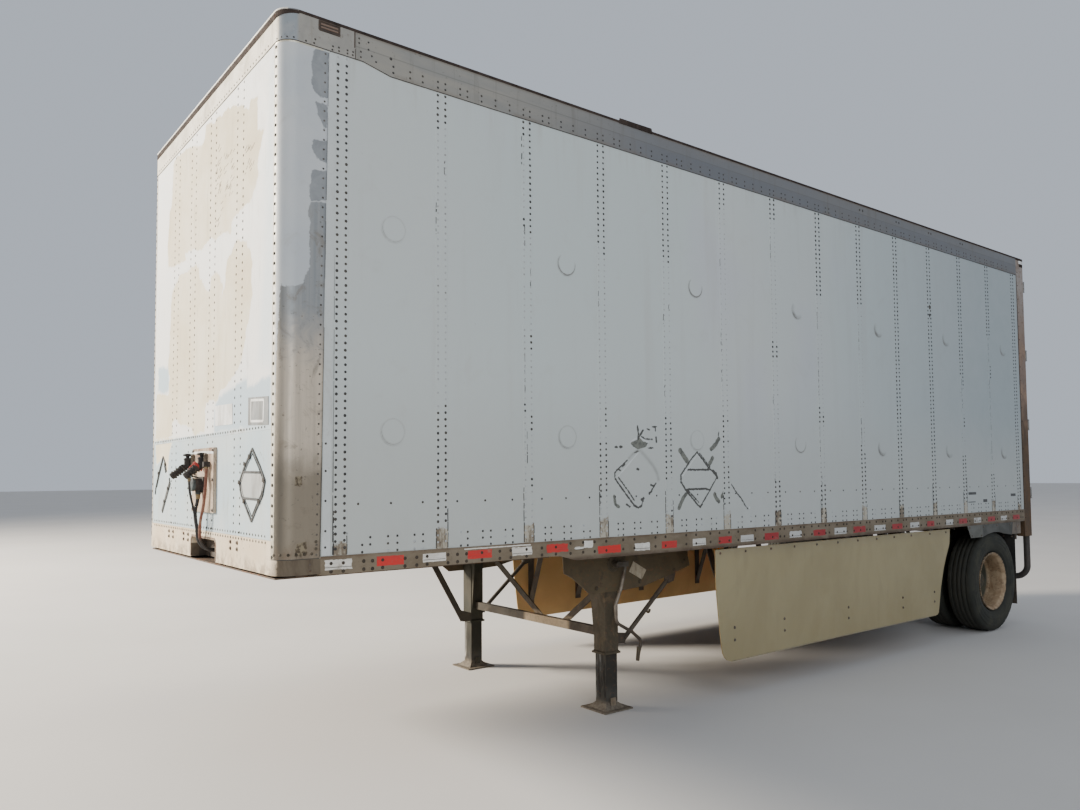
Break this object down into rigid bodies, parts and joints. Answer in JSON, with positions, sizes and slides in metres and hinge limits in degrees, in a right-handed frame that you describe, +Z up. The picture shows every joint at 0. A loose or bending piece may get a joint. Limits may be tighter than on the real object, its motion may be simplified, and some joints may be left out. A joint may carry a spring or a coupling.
{
  "type": "single-axle dry van semi trailer",
  "caption": "Sheet-and-post box semi trailer on twin wheels and landing legs, with swinging rear doors, side skirts and nose air hoses.",
  "frame": {"origin": "middle of the trailer's box in plan, on the ground that the tyres and landing feet stand on", "axes": "+X towards the nose and kingpin, +Y to the left (road) side, +Z up"},
  "size_m": [8.7415, 2.592, 4.06],
  "materials": {
    "white_paint_sheet": "weathered satin",
    "bare_aluminium": "dull",
    "wood_deck": "worn",
    "weathered_steel": "rusty",
    "bare_steel": "dull",
    "wheel_steel": "rusty",
    "tyre_rubber": "worn",
    "black_paint": "dull",
    "black_rubber": "dull",
    "brown_rubber": "dull",
    "skirt_plastic": "weathered",
    "grey_plastic": "matt",
    "door_paint": "weathered satin",
    "tan_paint": "weathered",
    "cast_fitting": "dull"
  },
  "bodies": {
    "trailer": {"air_tank": "black_paint", "axle_beam": "weathered_steel", "brake_chambers": "black_paint", "brown_hose": "brown_rubber", "door_hinge_brackets": "bare_steel", "door_keepers": "bare_steel", "electrical_socket": "grey_plastic", "flap_hangers": "weathered_steel", "floor_crossmembers": "weathered_steel", "floor_deck": "wood_deck", "front_corner_posts": "bare_aluminium", "front_sill": "bare_aluminium", "front_top_rail": "bare_aluminium", "front_wall": "white_paint_sheet", "gladhands": "cast_fitting", "hose_pocket": "black_paint", "kingpin": "bare_steel", "landing_crank_handle": "bare_steel", "landing_cross_shaft": "weathered_steel", "landing_leg_braces": "weathered_steel", "landing_leg_brackets": "weathered_steel", "landing_leg_feet": "bare_steel", "landing_leg_housings": "weathered_steel", "leaf_springs": "weathered_steel", "left_side_skirt": "skirt_plastic", "left_side_wall": "white_paint_sheet", "mud_flaps": "black_rubber", "nose_connection_panel": "tan_paint", "rear_header": "weathered_steel", "rear_impact_guard": "black_paint", "rear_posts": "weathered_steel", "rear_sill": "weathered_steel", "right_side_skirt": "skirt_plastic", "right_side_wall": "white_paint_sheet", "roof_bows": "bare_aluminium", "roof_panel": "bare_aluminium", "side_bottom_rails": "bare_aluminium", "side_top_rails": "bare_aluminium", "skirt_struts": "weathered_steel", "splash_shields": "grey_plastic", "suspension_frame": "weathered_steel", "thick_black_cable": "black_rubber", "thin_black_hose": "black_rubber", "upper_coupler": "weathered_steel"},
    "left_wheels": {"left_rims": "wheel_steel", "left_hub": "wheel_steel", "left_outer_tyre": "tyre_rubber", "left_inner_tyre": "tyre_rubber"},
    "right_wheels": {"right_rims": "wheel_steel", "right_hub": "wheel_steel", "right_outer_tyre": "tyre_rubber", "right_inner_tyre": "tyre_rubber"},
    "left_door": {"left_rear_door": "door_paint", "left_door_hardware": "bare_steel"},
    "right_door": {"right_rear_door": "door_paint", "right_door_hardware": "bare_steel"}
  },
  "joints": [
    {"name": "left_wheels_turn", "type": "hinge", "parent": "trailer", "child": "left_wheels", "pos_m": [-3.389, 0.985, 0.516], "axis": [0, 1, 0], "continuous": true},
    {"name": "right_wheels_turn", "type": "hinge", "parent": "trailer", "child": "right_wheels", "pos_m": [-3.389, -0.985, 0.516], "axis": [0, 1, 0], "continuous": true},
    {"name": "left_door_swing", "type": "hinge", "parent": "trailer", "child": "left_door", "pos_m": [-4.322, 1.285, 2.58], "axis": [0, 0, -1], "range_deg": [0, 260]},
    {"name": "right_door_swing", "type": "hinge", "parent": "trailer", "child": "right_door", "pos_m": [-4.322, -1.285, 2.58], "axis": [0, 0, 1], "range_deg": [0, 260]}
  ]
}
